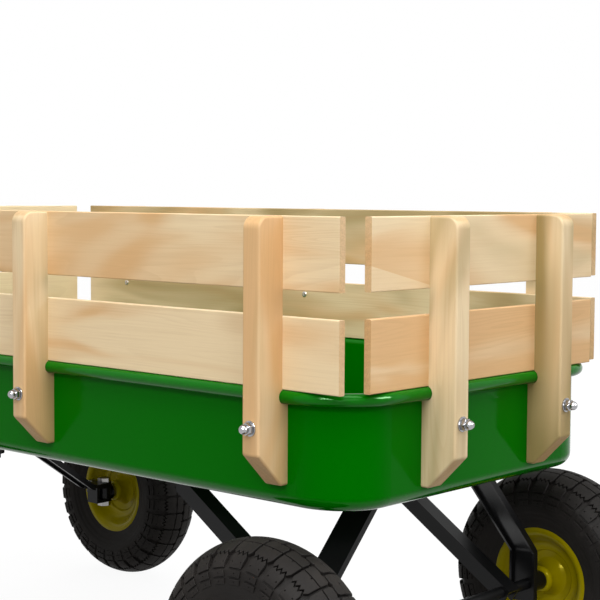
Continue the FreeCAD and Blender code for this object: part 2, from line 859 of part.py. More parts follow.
# Where the tie rod is pinned: to both arms, and to the lever between them
tie_pins = (
    (-kingpin_y, tie_rod_end_z, arm_bottom),
    (0, tie_rod_middle_z, lever_bottom),
    (kingpin_y, tie_rod_end_z, arm_bottom))


def make_tie_rod():
    """A round rod that is bent up from the arms, beside the beam, to pass over the lever."""
    slope = math.radians(front_slope_deg)
    bend_run = tie_rod_bend_radius * math.tan(slope / 2)
    outer_bend = kingpin_y - tie_pin_head_diameter / 2 - tie_rod_bend_gap - bend_run
    inner_bend = outer_bend - (tie_rod_middle_z - tie_rod_end_z) / math.tan(slope)
    half = [(kingpin_y, tie_rod_end_z), (outer_bend, tie_rod_end_z), (inner_bend, tie_rod_middle_z)]
    points = [(-y, z) for y, z in half] + list(reversed(half))
    path = Part.Wire(rounded_path(points, [tie_rod_bend_radius] * (len(points) - 2), yz_plane(tie_rod_x)))
    start = vec(tie_rod_x, -kingpin_y, tie_rod_end_z)
    section = Part.Wire(Part.makeCircle(tie_rod_diameter / 2, start, Y_AXIS))
    tie_rod = path.makePipeShell([section], True, True)
    for y, z, under in tie_pins:
        eye = upright_rod(tie_eye_diameter / 2, tie_rod_x, y, centred(z, tie_rod_diameter))
        tie_rod = tie_rod.fuse(eye)
    for y, z, under in tie_pins:
        tie_rod = tie_rod.cut(upright_rod(
            tie_pin_diameter / 2 + bore_clearance, tie_rod_x, y, centred(z, tie_rod_diameter + overrun)))
    return tie_rod


def make_tie_pins():
    """Three pins with a head over the tie rod and a washer under the arms and the lever."""
    head_radius = tie_pin_head_diameter / 2
    pins = []
    for y, z, under in tie_pins:
        eye_top = z + tie_rod_diameter / 2
        washer_top = under - swivel_gap
        pin = upright_rod(tie_pin_diameter / 2, tie_rod_x, y, (washer_top - tie_pin_head_height, eye_top))
        head = upright_rod(head_radius, tie_rod_x, y, (eye_top, eye_top + tie_pin_head_height))
        washer = upright_rod(head_radius, tie_rod_x, y, (washer_top - tie_pin_head_height, washer_top))
        pins.append(pin.multiFuse([head, washer]))
    return Part.makeCompound(pins)


# Steering lever and handle

lever_inside = handle_eye_thickness / 2 + handle_side_gap
lever_outside = lever_inside + lever_wall


def make_steering_lever():
    """A flat plate under the post that becomes an open channel for the handle's eye."""
    boss_radius = lever_boss_diameter / 2
    mouth = handle_pivot_x + handle_eye_height / 2 + lever_mouth_gap
    wall_start = kingpin_x - lever_wall_start
    outline = [
        (kingpin_x, -boss_radius),
        (wall_start, -lever_outside),
        (mouth, -lever_outside),
        (mouth, lever_outside),
        (wall_start, lever_outside),
        (kingpin_x, boss_radius)]
    plate = prism(outline, lambda x, y: vec(x, y, lever_bottom), Z_AXIS * lever_thickness)
    boss = upright_rod(boss_radius, kingpin_x, 0, (lever_bottom, lever_top))
    nose = handle_pivot_x - lever_nose
    wall_top = lever_top + lever_wall_height
    wall_side = [
        (wall_start, lever_bottom),
        (nose, lever_bottom),
        (nose, wall_top),
        (wall_start - lever_wall_ramp, wall_top),
        (wall_start, lever_top)]
    wall = prism(wall_side, lambda x, z: vec(x, lever_inside, z), Y_AXIS * lever_wall)
    wall = rounded_edges(
        wall,
        lever_nose_radius,
        lambda edge: runs_along(edge, Y_AXIS) and abs(edge.BoundBox.XMax - nose) < same_place)
    lever = plate.multiFuse([boss, wall, mirrored_y(wall)]).removeSplitter()
    post_hole = upright_rod(
        lever_bolt_diameter / 2 + bore_clearance, kingpin_x, 0, (lever_bottom - overrun, lever_top + overrun))
    pin_hole = upright_rod(
        tie_pin_diameter / 2 + bore_clearance, tie_rod_x, 0, (lever_bottom - overrun, lever_top + overrun))
    handle_hole = cross_rod(
        handle_pin_diameter / 2 + bore_clearance,
        handle_pivot_x,
        (-lever_outside - overrun, lever_outside + overrun),
        handle_pivot_z)
    return lever.cut(post_hole).cut(pin_hole).cut(handle_hole)


def make_lever_bolt():
    head_top = lever_bottom - swivel_gap
    shank = upright_rod(lever_bolt_diameter / 2, kingpin_x, 0, (head_top, beam_top - front_beam_sheet))
    head = hex_prism(
        lever_bolt_across, lever_bolt_head, vec(kingpin_x, 0, head_top - lever_bolt_head), Z_AXIS)
    return shank.fuse(head)


def make_handle_pin():
    pin = cross_rod(handle_pin_diameter / 2, handle_pivot_x, (-lever_outside, lever_outside), handle_pivot_z)
    heads = []
    for sign in (-1, 1):
        heads.append(cross_rod(
            handle_pin_head_diameter / 2,
            handle_pivot_x,
            (sign * lever_outside, sign * (lever_outside + handle_pin_head_height)),
            handle_pivot_z))
    return pin.multiFuse(heads)


def laid_down(shape):
    """Move a piece drawn along -X from the pivot to where the handle lies on the floor."""
    placed = shape.copy()
    placed.rotate(ORIGIN, Y_AXIS, -math.degrees(handle_tilt))
    placed.translate(vec(handle_pivot_x, 0, handle_pivot_z))
    return placed


def grip_loop():
    """A closed loop of round rod with a straight grip bar, drawn along -X from the pivot."""
    neck = -(handle_length - grip_loop_length)
    far = -handle_length
    side = far + grip_side_length
    half = grip_loop_width / 2 - grip_rod_diameter / 2
    start = (far, 0)
    around = [start, (far, -half), (side, -half), (neck, 0), (side, half), (far, half), start]
    radii = (grip_loop_radius, grip_loop_radius, grip_neck_radius, grip_loop_radius, grip_loop_radius)
    path = Part.Wire(rounded_path(around, radii, lambda x, y: vec(x, y, 0)))
    section = Part.Wire(Part.makeCircle(grip_rod_diameter / 2, vec(far, 0, 0), Y_AXIS))
    return path.makePipeShell([section], True, True)


def make_handle_shaft(loop):
    """A tube with a flat eye at the pivot; its far end is notched to sit on the loop's neck."""
    tube_radius = handle_tube_diameter / 2
    lean = math.atan2(grip_loop_width / 2 - grip_rod_diameter / 2, grip_loop_length - grip_side_length)
    neck_setback = grip_neck_radius / math.sin(lean) - grip_neck_radius
    tube_end = -(handle_length - grip_loop_length) - neck_setback
    tube_start = -handle_eye_length
    tube = rod(tube_radius, vec(tube_start, 0, 0), vec(tube_end, 0, 0))
    tube = tube.cut(rod(tube_radius - handle_tube_wall, vec(tube_start, 0, 0), vec(tube_end, 0, 0)))
    half = handle_eye_thickness / 2
    eye = box((-handle_eye_length - tube_radius, 0), (-half, half), centred(0, handle_eye_height))
    eye = eye.fuse(cross_rod(handle_eye_height / 2, 0, (-half, half), 0))
    shaft = tube.fuse(eye)
    hole = cross_rod(handle_pin_diameter / 2 + bore_clearance, 0, (-half - overrun, half + overrun), 0)
    shaft = shaft.cut(hole).cut(loop)
    return Part.makeCompound([max(shaft.Solids, key=lambda solid: solid.Volume)])


def make_grip_sleeve():
    half = grip_sleeve_length / 2
    sleeve = cross_rod(grip_sleeve_diameter / 2, -handle_length, (-half, half), 0)
    sleeve = sleeve.makeFillet(grip_sleeve_edge, [edge for edge in sleeve.Edges if edge.Closed])
    sleeve = sleeve.cut(cross_rod(
        grip_rod_diameter / 2 + bore_clearance, -handle_length, (-half - overrun, half + overrun), 0))
    return laid_down(sleeve)


def build():
    nodes = {"tray": make_tray()}
    nodes.update(make_panels())
    nodes.update(make_wheels())
    brace = make_brace()
    nodes["rear_carrier"] = make_rear_carrier()
    nodes["rear_brace_left"] = mirrored_y(brace)
    nodes["rear_brace_right"] = brace
    nodes["rear_axle"] = make_rear_axle()
    sides = (-1, 1)
    nodes["rear_spacers"] = Part.makeCompound([spacer(rear_axle_x, sign, carrier_leg_face) for sign in sides])
    nodes["rear_axle_nuts"] = Part.makeCompound([axle_nut(rear_axle_x, sign) for sign in sides])
    nodes["front_saddle"] = make_front_saddle()
    nodes["front_beam"] = make_front_beam()
    nodes["steering_post"] = make_steering_post()
    nodes["front_yokes"] = Part.makeCompound([make_front_yoke(sign) for sign in sides])
    nodes["kingpins"] = Part.makeCompound([make_kingpin(sign) for sign in sides])
    for side, sign in (("left", -1), ("right", 1)):
        nodes["knuckle_" + side] = make_knuckle(sign)
        nodes["front_spacer_" + side] = spacer(kingpin_x, sign, shoulder_y)
        nodes["front_axle_nut_" + side] = axle_nut(kingpin_x, sign)
    nodes["tie_rod"] = make_tie_rod()
    nodes["tie_rod_pins"] = make_tie_pins()
    nodes["steering_lever"] = make_steering_lever()
    nodes["lever_bolt"] = make_lever_bolt()
    nodes["handle_pin"] = make_handle_pin()
    loop = grip_loop()
    nodes["handle_shaft"] = laid_down(make_handle_shaft(loop))
    nodes["grip_loop"] = laid_down(loop)
    nodes["grip_sleeve"] = make_grip_sleeve()
    return nodes


os.makedirs("parts", exist_ok=True)
for node, shape in build().items():
    print(node, shape.isValid(), len(shape.Solids), round(shape.Volume / 1000, 2))
    shape.exportStep("parts/" + node + ".step")
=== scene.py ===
import math

import bmesh
import bpy
from bpy.props import FloatProperty, FloatVectorProperty, IntProperty, PointerProperty
from mathutils import Matrix, Vector


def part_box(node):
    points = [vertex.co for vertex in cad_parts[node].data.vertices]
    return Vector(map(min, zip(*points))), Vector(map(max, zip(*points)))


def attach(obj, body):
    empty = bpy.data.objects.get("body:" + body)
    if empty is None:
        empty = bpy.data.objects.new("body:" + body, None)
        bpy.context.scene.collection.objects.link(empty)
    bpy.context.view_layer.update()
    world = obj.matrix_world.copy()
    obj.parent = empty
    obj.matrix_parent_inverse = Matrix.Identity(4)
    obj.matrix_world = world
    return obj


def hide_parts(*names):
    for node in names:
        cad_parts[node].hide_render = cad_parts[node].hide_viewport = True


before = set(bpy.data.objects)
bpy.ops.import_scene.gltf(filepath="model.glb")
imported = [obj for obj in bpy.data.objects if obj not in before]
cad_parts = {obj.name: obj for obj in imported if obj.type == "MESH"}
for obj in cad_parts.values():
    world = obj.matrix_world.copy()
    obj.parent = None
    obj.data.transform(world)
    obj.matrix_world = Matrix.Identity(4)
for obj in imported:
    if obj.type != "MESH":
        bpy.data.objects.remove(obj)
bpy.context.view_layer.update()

bl_info = {
    "name": "Stake-sided pull wagon",
    "version": (1, 0, 0),
    "blender": (4, 5, 0),
    "location": "3D View > Sidebar > Wagon",
    "description": "Treaded tyres, fastenings, finishes and stage for a small stake-sided pull wagon",
    "category": "Object",
}

MM = 0.001
WHITE = (1, 1, 1, 1)
WHEELS = ("rear_left", "rear_right", "front_left", "front_right")
STAKES = sorted(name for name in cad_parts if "_stake_" in name)
SLATS = sorted(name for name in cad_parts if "_slat_" in name)
BLACK_NODES = ("rear_carrier", "rear_brace_left", "rear_brace_right", "rear_spacers", "front_saddle",
               "front_beam", "steering_post", "front_yokes", "tie_rod", "steering_lever", "handle_shaft",
               "grip_loop", "knuckle_left", "knuckle_right", "rear_axle")
# A node whose name has one of these in it is plated
ZINC_WORDS = ("nut", "pin", "bolt", "front_spacer")

# The tray: its sheet, how far the rolled rim stands out past the wall, and how far it reaches down
TRAY_SHEET = 1.5 * MM
RIM_OVERHANG = 6.75 * MM
RIM_DEPTH = 11.5 * MM


# Settings

def colour_property(name, description, default):
    return FloatVectorProperty(name=name, description=description, default=default, size=3, min=0, max=1,
                               subtype="COLOR")


def length_property(name, description, default):
    return FloatProperty(name=name, description=description, default=default, min=0, unit="LENGTH",
                         subtype="DISTANCE")


def power_property(name, description, default):
    return FloatProperty(name=name, description=description, default=default, min=0, subtype="POWER")


class WagonTread(bpy.types.PropertyGroup):
    pitches: IntProperty(name="Pitches", description="Blocks of each row in one turn", default=30, min=12,
                         max=60)
    depth: length_property("Groove depth", "How deep the grooves of the tread are", 4.2 * MM)
    shoulder_depth: length_property("Shoulder depth", "How high the small side blocks stand", 1.7 * MM)
    edge: length_property("Block edge", "Bevel on the blocks' edges", 0.35 * MM)
    rubber: colour_property("Rubber", "Colour of the rubber", (0.0165, 0.0142, 0.0128))


class WagonWood(bpy.types.PropertyGroup):
    cream: colour_property("Cream wood", "Colour of the palest wood", (0.82, 0.645, 0.40))
    peach: colour_property("Peach wood", "Colour of the warmer wood", (0.70, 0.43, 0.20))
    # The khaki is also used as painted shade on the far side's slats
    khaki_and_shade: colour_property("Khaki wood", "Colour of the greyer, darker wood", (0.36, 0.26, 0.095))
    line: colour_property("Growth lines", "Colour of the dark late wood", (0.50, 0.29, 0.12))
    knot: colour_property("Knot", "Colour of the few small knots", (0.16, 0.08, 0.035))


class WagonPaint(bpy.types.PropertyGroup):
    tray: colour_property("Tray", "Enamel of the tray", (0.0, 0.135, 0.0))
    rim: colour_property("Rims", "Enamel of the rims", (0.36, 0.29, 0.0))
    black: colour_property("Black parts", "Satin paint of the struts", (0.0055, 0.0055, 0.006))


class WagonFittings(bpy.types.PropertyGroup):
    washer: length_property("Washer", "Diameter of the washers on the stakes", 15 * MM)
    nut: length_property("Nut", "Width across the flats of the cap nuts", 11 * MM)
    dome: length_property("Dome", "Diameter of the cap nuts' domes", 9.4 * MM)
    screw: length_property("Screw head", "Diameter of the slat screws' heads", 7.6 * MM)
    screw_rise: length_property("Screw rise", "How far the slat screws lie above and below a slat's middle",
                                17.5 * MM)
    valve_radius: length_property("Valve place", "Distance of the valve stems from the axle", 50 * MM)


class WagonStage(bpy.types.PropertyGroup):
    lens: FloatProperty(name="Lens", description="Focal length of the camera in mm", default=90.867, min=10)
    key: power_property("Key light", "Power of the large light overhead", 52)
    strip: power_property("Strip lights", "Power of the two long soft lights", 15)
    glint: power_property("Glint lights", "Power of the two soft boxes that only show as glints", 85)
    sky: FloatProperty(name="Sky", description="Strength of the even light all round", default=0.6, min=0)


# Finishes

class Tree:
    """A material's node tree, with its shader and short ways to add nodes."""

    def __init__(self, name):
        self.material = bpy.data.materials.new(name)
        self.material.use_nodes = True
        self.nodes = self.material.node_tree.nodes
        self.links = self.material.node_tree.links
        self.shader = self.nodes["Principled BSDF"]

    def add(self, kind, settings=None, **inputs):
        """Add a node; its inputs are named with _ for a space, and are values or other nodes' outputs."""
        node = self.nodes.new(kind)
        for key, value in (settings or {}).items():
            setattr(node, key, value)
        for key, value in inputs.items():
            self.feed(node, key.replace("_", " "), value)
        return node

    def feed(self, node, key, value):
        socket = node.inputs[key]
        if isinstance(value, bpy.types.NodeSocket):
            self.links.new(value, socket)
        else:
            socket.default_value = value

    def math(self, operation, *values):
        node = self.add("ShaderNodeMath", {"operation": operation})
        for index, value in enumerate(values):
            self.feed(node, index, value)
        return node.outputs[0]

    def times(self, value, factor):
        return self.math("MULTIPLY", value, factor)

    def rise(self, value, base, gain):
        """The base where the value is 0, and base and gain together where it is 1."""
        return self.math("MULTIPLY_ADD", value, gain, base)

    def ramp(self, value, low, high):
        """A smooth step from 0 at low to 1 at high."""
        node = self.add("ShaderNodeMapRange", {"interpolation_type": "SMOOTHSTEP"})
        for index, item in enumerate((value, low, high)):
            self.feed(node, index, item)
        return node.outputs[0]

    def mix(self, share, first, second):
        node = self.add("ShaderNodeMix", {"data_type": "RGBA"})
        for index, item in ((0, share), (6, first), (7, second)):
            self.feed(node, index, item)
        return node.outputs[2]

    def noise(self, vector, scale, detail, roughness=0.5):
        node = self.add("ShaderNodeTexNoise", Vector=vector, Scale=scale, Detail=detail, Roughness=roughness)
        return node.outputs["Fac"]

    def place(self, location=(0, 0, 0), rotation=(0, 0, 0), scale=(1, 1, 1)):
        """The object's own coordinates, moved, turned and stretched."""
        source = self.add("ShaderNodeTexCoord").outputs["Object"]
        return self.stretched(source, scale, Location=location, Rotation=rotation)

    def stretched(self, vector, scale, **inputs):
        return self.add("ShaderNodeMapping", Vector=vector, Scale=scale, **inputs).outputs[0]

    def axes(self, vector):
        return self.add("ShaderNodeSeparateXYZ", Vector=vector).outputs

    def bump(self, height, distance):
        node = self.add("ShaderNodeBump", Height=height, Distance=distance)
        self.links.new(node.outputs[0], self.shader.inputs["Normal"])

    def finish(self, **inputs):
        for key, value in inputs.items():
            self.feed(self.shader, key.replace("_", " "), value)
        return self.material


def rgba(colour, factor=1.0):
    return (colour[0] * factor, colour[1] * factor, colour[2] * factor, 1)


def enamel(name, colour, roughness=0.1, level=0.06, painted_sheen_above=None):
    """Sprayed gloss enamel with orange peel and dust.

    On the rolled rim, above the given height, and where it faces down, it reflects more and whiter: a painted
    sheen, which strengthens the glints on the rim and paints a reflection of the floor along the bottom
    fillet.
    """
    tree = Tree(name)
    place = tree.place()
    dust = tree.ramp(tree.noise(place, scale=7.0, detail=5.0), low=0.45, high=0.75)
    tone = tree.mix(tree.times(dust, 0.14), rgba(colour), rgba(colour, 0.86))
    tree.bump(tree.noise(place, scale=260.0, detail=2.0), distance=0.05 * MM)
    tint = (*(0.1 + 0.9 * part / max(colour) for part in colour), 1)
    if painted_sheen_above is not None:
        # Painted sheen: a higher, whiter reflection on the rolled rim and where the enamel faces down
        spot = tree.add("ShaderNodeTexCoord")
        height = tree.axes(spot.outputs["Object"])["Z"]
        facing = tree.axes(spot.outputs["Normal"])["Z"]
        rolled = tree.ramp(height, low=painted_sheen_above - 0.5 * MM, high=painted_sheen_above + 0.5 * MM)
        painted_sheen = tree.math("MAXIMUM", rolled, tree.ramp(facing, low=-0.05, high=-0.35))
        level = tree.rise(painted_sheen, base=level, gain=0.16)
        tint = tree.mix(tree.times(painted_sheen, 0.45), tint, WHITE)
    return tree.finish(Base_Color=tone, Roughness=tree.rise(dust, base=roughness, gain=0.05),
                       Specular_IOR_Level=level, Specular_Tint=tint)


def satin_black(name, colour):
    """Powder-coated steel, a little lighter where it is rubbed."""
    tree = Tree(name)
    place = tree.place()
    rubbed = tree.ramp(tree.noise(place, scale=22.0, detail=6.0, roughness=0.6), low=0.58, high=0.8)
    tone = tree.mix(tree.times(rubbed, 0.3), rgba(colour), rgba(colour, 2.2))
    tree.bump(tree.noise(place, scale=900.0, detail=2.0), distance=0.04 * MM)
    return tree.finish(Base_Color=tone, Roughness=tree.rise(rubbed, base=0.3, gain=0.12),
                       Specular_IOR_Level=0.16)


def rubber(name, colour):
    """Matte rubber, with a little dust and mould bloom."""
    tree = Tree(name)
    place = tree.place()
    bloom = tree.ramp(tree.noise(place, scale=16.0, detail=6.0, roughness=0.62), low=0.4, high=0.72)
    tone = tree.mix(bloom, rgba(colour, 0.78), rgba(colour, 1.45))
    tree.bump(tree.noise(place, scale=420.0, detail=4.0), distance=0.12 * MM)
    return tree.finish(Base_Color=tone, Roughness=tree.rise(bloom, base=0.6, gain=0.14),
                       Specular_IOR_Level=0.1)


def plated(name, tone, roughness):
    """Bright plated steel with fine streaks from polishing."""
    tree = Tree(name)
    streak = tree.noise(tree.place(scale=(1, 1, 6)), scale=500.0, detail=3.0)
    shade = tree.mix(tree.times(streak, 0.25), rgba(tone), rgba(tone, 0.8))
    return tree.finish(Base_Color=shade, Roughness=tree.rise(streak, base=roughness, gain=0.16), Metallic=1.0)


# How the wood's patterns are stretched: along the grain, then across it twice
DRIFT_STRETCH = (3.0, 13, 13)
GROWTH_STRETCH = (1.1, 20, 20)
FIBRE_STRETCH = (11, 520, 520)
KNOT_STRETCH = (5.5, 17, 17)
# How far each board lies from the one before it in the pattern, in metres
NEXT_BOARD = (1.37, 0.61, 0.93)
# The turn that lays the pattern's X axis along the grain
GRAIN_TURNS = {"X": (0, 0, 0), "Y": (0, 0, -math.pi / 2), "Z": (0, math.pi / 2, 0)}
# How much peach and khaki is in a board, from 0 to 1, for the boards that the camera sees best; on the far
# side's slats (side_right) the khaki is partly painted shade, darkening inner faces that lie in the tray's
# shade
PLAIN_BOARD = (0.35, 0.25)
BOARD_TONES_AND_SHADE = {
    "end_rear_slat_upper": (0.4, 0.4), "end_rear_slat_lower": (0.8, 0.2),
    "side_left_slat_upper": (0.55, 0.05), "side_left_slat_lower": (0.4, 0.0),
    "side_right_slat_upper": (0.4, 0.65), "side_right_slat_lower": (0.4, 0.6),
    "side_left_stake_middle": (0.55, 0.7), "side_left_stake_rear": (0.7, 0.45),
    "end_rear_stake_left": (0.2, 0.55), "end_rear_stake_right": (0.2, 1.0)}
# A board glued from two: how high the joint is where Y is 0, in metres, and its slope along Y
BOARD_JOINTS = {"end_rear_slat_upper": (0.4658, -0.236)}


def drifting_tones(tree, wood, drift, peach, khaki_and_shade):
    """Cream wood that drifts to peach and to khaki; the more of a tone a board has, the sooner it sets in. On
    the far side's slats the khaki is partly painted shade.
    """
    warmer = tree.ramp(drift["Red"], low=0.64 - 0.5 * peach, high=0.9 - 0.5 * peach)
    greyer = tree.ramp(drift["Green"], low=0.7 - 0.5 * khaki_and_shade, high=1.0 - 0.5 * khaki_and_shade)
    tone = tree.mix(warmer, rgba(wood.cream), rgba(wood.peach))
    return tree.mix(tree.times(greyer, 0.7 + 0.3 * khaki_and_shade), tone, rgba(wood.khaki_and_shade, 1.06 - 0.16 * khaki_and_shade))


def glued_board(tree, wood, tone, level, slope):
    """The paler half of a board, below the joint."""
    axes = tree.axes(tree.add("ShaderNodeTexCoord").outputs["Object"])
    joint = tree.rise(axes["Y"], base=level, gain=slope)
    under = tree.ramp(tree.math("SUBTRACT", axes["Z"], joint), low=0.4 * MM, high=-0.4 * MM)
    return tree.mix(tree.times(under, 0.75), tone, rgba(wood.cream, 1.02))


def growth_lines(tree, along, drift):
    """Lines of late wood that darken slowly and end sharply, stronger in some places than in others."""
    wave = tree.add("ShaderNodeTexNoise", Vector=tree.stretched(along, GROWTH_STRETCH), Scale=1.0, Detail=1.5,
                    Distortion=0.7)
    year = tree.math("FRACT", tree.times(wave.outputs["Fac"], 22.0))
    line = tree.times(tree.ramp(year, low=0.3, high=0.95), tree.ramp(year, low=1.0, high=0.94))
    return tree.times(line, tree.rise(tree.ramp(drift["Blue"], low=0.35, high=0.75), base=0.03, gain=0.16))


def pin_knots(tree, wood, along, tone):
    """A few small knots, each with a halo of darker wood."""
    cells = tree.add("ShaderNodeTexVoronoi", Vector=tree.stretched(along, KNOT_STRETCH), Scale=1.0,
                     Randomness=1.0).outputs
    lot = tree.add("ShaderNodeSeparateColor", Color=cells["Color"]).outputs["Red"]
    chosen = tree.math("GREATER_THAN", lot, 0.7)
    knot = tree.times(tree.ramp(cells["Distance"], low=0.075, high=0.02), chosen)
    halo = tree.times(tree.ramp(cells["Distance"], low=0.3, high=0.06), chosen)
    tone = tree.mix(tree.times(halo, 0.3), tone, rgba(wood.line))
    return tree.mix(tree.times(knot, 0.8), tone, rgba(wood.knot))


def end_grain(tree, wood, along, grain_axis, tone):
    """Pores and year rings on the faces that are sawn across the grain."""
    facing = tree.axes(tree.add("ShaderNodeTexCoord").outputs["Normal"])[grain_axis]
    cut = tree.ramp(tree.math("ABSOLUTE", facing), low=0.45, high=0.75)
    pores = tree.ramp(tree.noise(along, scale=900.0, detail=2.0), low=0.35, high=0.7)
    years = tree.add("ShaderNodeTexWave", {"wave_type": "RINGS", "rings_direction": "X"}, Vector=along,
                     Scale=46.0, Distortion=1.5, Detail=1.0)
    ends = tree.mix(pores, rgba(wood.peach, 0.94), rgba(wood.line, 0.95))
    ends = tree.mix(tree.times(years.outputs["Fac"], 0.35), ends, rgba(wood.line, 0.85))
    return tree.mix(tree.times(cut, 0.62), tone, ends)


def boards(name, wood, grain_axis, number, peach, khaki_and_shade, joint=None):
    """Pale planed softwood: broad drifts of tone, late-wood lines, fine fibres, pin knots and end grain."""
    tree = Tree(name)
    along = tree.place(location=[number * step for step in NEXT_BOARD], rotation=GRAIN_TURNS[grain_axis])
    broad = tree.add("ShaderNodeTexNoise", Vector=tree.stretched(along, DRIFT_STRETCH), Scale=1.0, Detail=2.0,
                     Distortion=0.9)
    drift = tree.add("ShaderNodeSeparateColor", Color=broad.outputs["Color"]).outputs
    tone = drifting_tones(tree, wood, drift, peach, khaki_and_shade)
    if joint:
        tone = glued_board(tree, wood, tone, *joint)
    growth = growth_lines(tree, along, drift)
    tone = tree.mix(growth, tone, rgba(wood.line))
    fibres = tree.noise(tree.stretched(along, FIBRE_STRETCH), scale=1.0, detail=3.0, roughness=0.62)
    tone = tree.mix(tree.times(tree.ramp(fibres, low=0.46, high=0.78), 0.12), tone, rgba(wood.line, 0.9))
    tone = pin_knots(tree, wood, along, tone)
    tone = end_grain(tree, wood, along, grain_axis, tone)
    tree.bump(tree.math("ADD", tree.times(fibres, 0.6), tree.times(growth, -0.8)), distance=0.2 * MM)
    return tree.finish(Base_Color=tone, Roughness=tree.rise(fibres, base=0.46, gain=0.2),
                       Specular_IOR_Level=0.25)


def dress(node, material):
    """Give a node of the frame its finish."""
    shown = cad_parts[node]
    for slot in shown.material_slots:
        slot.material = material
    if not shown.material_slots:
        shown.data.materials.append(material)


class WAGON_OT_finishes(bpy.types.Operator):
    """Give every node of the frame its paint, plating or wood"""
    bl_idname = "wagon.add_finishes"
    bl_label = "Finishes"

    def execute(self, context):
        paint = context.scene.wagon_paint
        wood = context.scene.wagon_wood
        tray_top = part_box("tray")[1].z
        # The tray's enamel has a painted sheen on its rolled rim and where it faces down
        dress("tray", enamel("tray_enamel", paint.tray, painted_sheen_above=tray_top - RIM_DEPTH))
        yellow = enamel("rim_enamel", paint.rim, roughness=0.2, level=0.2)
        for wheel in WHEELS:
            dress("rim_" + wheel, yellow)
        for number, node in enumerate(SLATS + STAKES, start=1):
            grain = "Z" if node in STAKES else ("X" if node.startswith("side") else "Y")
            peach, khaki_and_shade = BOARD_TONES_AND_SHADE.get(node, PLAIN_BOARD)
            dress(node, boards("wood_" + node, wood, grain, number, peach, khaki_and_shade, BOARD_JOINTS.get(node)))
        black = satin_black("black_paint", paint.black)
        for node in BLACK_NODES:
            dress(node, black)
        # Painted shade: this zinc is darker than the screws' zinc, for nuts, pins, bolts and spacers that sit
        # in the shade under the wagon
        zinc = plated("zinc", (0.3, 0.295, 0.285), roughness=0.22)
        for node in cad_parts:
            if any(word in node for word in ZINC_WORDS):
                dress(node, zinc)
        dress("grip_sleeve", rubber("grip_rubber", (0.014, 0.014, 0.014)))
        return {"FINISHED"}


# Making pieces

SHARP_ANGLE = math.radians(35)
SAME_SPOT = 0.01 * MM


def settle(name, bm, body, material):
    """Turn a finished bmesh into a piece that rides on a body."""
    bmesh.ops.recalc_face_normals(bm, faces=bm.faces[:])
    mesh = bpy.data.meshes.new(name)
    bm.to_mesh(mesh)
    bm.free()
    for polygon in mesh.polygons:
        polygon.use_smooth = True
    mesh.set_sharp_from_angle(angle=SHARP_ANGLE)
    mesh.materials.append(material)
    piece = bpy.data.objects.new(name, mesh)
    bpy.context.scene.collection.objects.link(piece)
    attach(piece, body)
    return piece


def lathe(bm, section, steps, place):
    """Spin a section of (radius, height) points about the Z axis and move it into place."""
    line = [bm.verts.new((radius, 0, height)) for radius, height in section]
    edges = [bm.edges.new(pair) for pair in zip(line[:-1], line[1:])]
    before = set(bm.verts) - set(line)
    bmesh.ops.spin(bm, geom=line + edges, cent=(0, 0, 0), axis=(0, 0, 1), angle=math.tau, steps=steps,
                   use_merge=True, use_duplicate=False)
    bmesh.ops.remove_doubles(bm, verts=[vert for vert in bm.verts if vert not in before], dist=SAME_SPOT)
    bmesh.ops.transform(bm, matrix=place, verts=[vert for vert in bm.verts if vert not in before])


def pointing(location, direction):
    """A place whose Z axis points along a direction."""
    turn = Vector((0, 0, 1)).rotation_difference(Vector(direction)).to_matrix().to_4x4()
    return Matrix.Translation(location) @ turn


def in_mm(points):
    return [(first * MM, second * MM) for first, second in points]


# Tyres

# Points of a tyre nearer than these to its widest one, and to the middle of the tread, are left out
NEAR_WIDEST = 0.2 * MM
NEAR_MIDDLE = 0.8 * MM
# How far to each side of a point the surface's slope is taken
SLOPE_STEP = 1.5 * MM


class TyreForm:
    """The outside of a tyre as the frame has it: a section to walk along from the middle of the tread."""

    def __init__(self, node):
        low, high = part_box(node)
        centre = (low + high) / 2
        self.radius = (high.z - low.z) / 2
        points = set()
        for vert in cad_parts[node].data.vertices:
            out = vert.co - centre
            points.add((round(abs(out.y), 6), round(math.hypot(out.x, out.z), 6)))
        upper = self.outside(sorted(points))
        widest = upper[-1]
        lower = self.outside(point for point in sorted(points, reverse=True) if point[1] <= widest[1])
        line = upper + [point for point in lower if point[1] < widest[1] - NEAR_WIDEST]
        self.line = [(0.0, self.radius)] + [point for point in line if point[0] > NEAR_MIDDLE]
        self.reach = [0.0]
        for start, end in zip(self.line[:-1], self.line[1:]):
            self.reach.append(self.reach[-1] + math.dist(start, end))

    @staticmethod
    def outside(points):
        """Those of a row of points that lie on its hull."""
        hull = []
        for point in points:
            while len(hull) > 1 and TyreForm.turns_left(hull[-2], hull[-1], point):
                hull.pop()
            hull.append(point)
        return hull

    @staticmethod
    def turns_left(first, middle, last):
        return ((middle[0] - first[0]) * (last[1] - first[1])
                - (middle[1] - first[1]) * (last[0] - first[0])) >= 0

    def spot(self, along):
        """Axial place and radius at a distance along the section from the middle of the tread."""
        along = min(max(along, 0.0), self.reach[-1])
        index = next(i for i in range(1, len(self.reach)) if self.reach[i] >= along)
        share = (along - self.reach[index - 1]) / (self.reach[index] - self.reach[index - 1])
        first, last = self.line[index - 1], self.line[index]
        return (first[0] + (last[0] - first[0]) * share, first[1] + (last[1] - first[1]) * share)

    def point(self, along, height):
        """The same, raised off the surface by height."""
        before, after = self.spot(along - SLOPE_STEP), self.spot(along + SLOPE_STEP)
        if along < SLOPE_STEP:
            before = (-after[0], after[1]) if along == 0 else (0.0, self.radius)
        slope = (after[0] - before[0], after[1] - before[1])
        length = math.hypot(*slope)
        axial, radius = self.spot(along)
        return (axial - slope[1] / length * height, radius + slope[0] / length * height)


